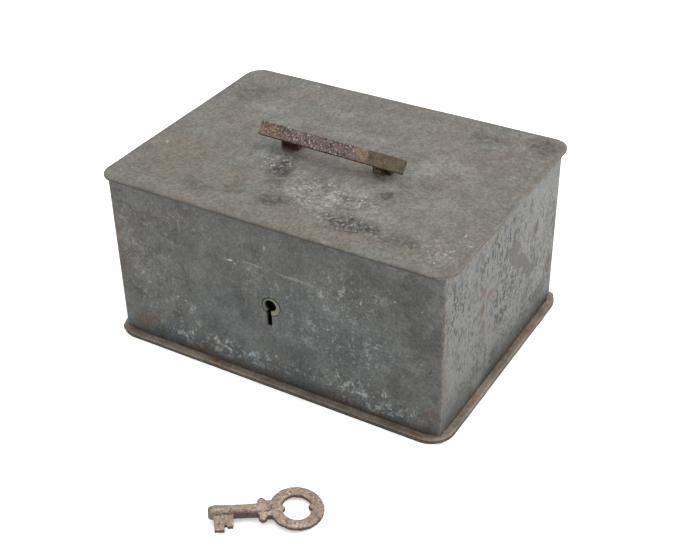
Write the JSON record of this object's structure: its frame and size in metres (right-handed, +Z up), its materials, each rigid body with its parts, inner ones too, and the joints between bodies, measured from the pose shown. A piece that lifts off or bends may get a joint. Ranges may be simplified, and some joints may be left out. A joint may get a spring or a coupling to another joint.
{
  "type": "lockable money box",
  "caption": "Rectangular sheet-metal money box with a flat hinged lid, a leaning lift handle, a keyhole in its front wall with a warded lock behind it, and its loose key.",
  "frame": {"origin": "middle of the base's underside, on the surface the box stands on", "axes": "+Z up, -Y to the front wall with the keyhole, +X to the right seen from the front"},
  "size_m": [0.2004, 0.2489, 0.1101],
  "materials": {
    "box_steel": "worn dark grey sheet, flecked, with rust at the edges",
    "lid_steel": "worn grey-brown sheet, rubbed and mottled",
    "base_steel": "tan-brown aged tinplate",
    "handle_steel": "pitted, rust-brown",
    "fitting_steel": "dark rusty steel",
    "hinge_steel": "dull, lightly rusted",
    "lock_steel": "dull mill finish",
    "spring_steel": "dull",
    "bush_brass": "tarnished",
    "key_steel": "worn cast, brown"
  },
  "bodies": {
    "box": {"body_shell": "box_steel", "bottom_plate": "base_steel", "hinge_leaf_body_left": "hinge_steel", "hinge_leaf_body_right": "hinge_steel", "hinge_pin_left": "hinge_steel", "hinge_pin_right": "hinge_steel", "hinge_body_rivets": "hinge_steel", "lock_plate": "lock_steel", "lock_case": "lock_steel", "keyhole_bush": "bush_brass", "drill_pin": "lock_steel", "bolt_guide_stump": "lock_steel", "bolt_staple": "lock_steel", "bridge_ward": "lock_steel", "lock_rivets": "box_steel", "lock_case_screws": "lock_steel"},
    "lid": {"lid_plate": "lid_steel", "hinge_leaf_lid_left": "hinge_steel", "hinge_leaf_lid_right": "hinge_steel", "hinge_lid_rivets": "lid_steel", "lid_hasp": "lock_steel", "hasp_rivets": "lid_steel", "handle_lug_left": "fitting_steel", "handle_lug_right": "fitting_steel", "handle_pin_left": "fitting_steel", "handle_pin_right": "fitting_steel", "handle_lug_rivets": "fitting_steel"},
    "handle": {"handle_grip": "handle_steel", "handle_arm_left": "fitting_steel", "handle_arm_right": "fitting_steel"},
    "bolt": {"lock_bolt": "lock_steel", "bolt_spring": "spring_steel"},
    "key": {"key": "key_steel"}
  },
  "joints": [
    {"name": "lid_hinge", "type": "hinge", "parent": "box", "child": "lid", "pos_m": [0, 0.0717, 0.0924], "axis": [-1, 0, 0], "range_deg": [0, 105]},
    {"name": "handle_pivot", "type": "hinge", "parent": "lid", "child": "handle", "pos_m": [0, 0, 0.1014], "axis": [-1, 0, 0], "range_deg": [0, 90]},
    {"name": "bolt_slide", "type": "slide", "parent": "box", "child": "bolt", "axis": [-1, 0, 0], "range_m": [0, 0.009]},
    {"name": "key_lift", "type": "slide", "parent": "box", "child": "key", "axis": [0, 0, 1], "range_m": [0, 0.12]}
  ]
}
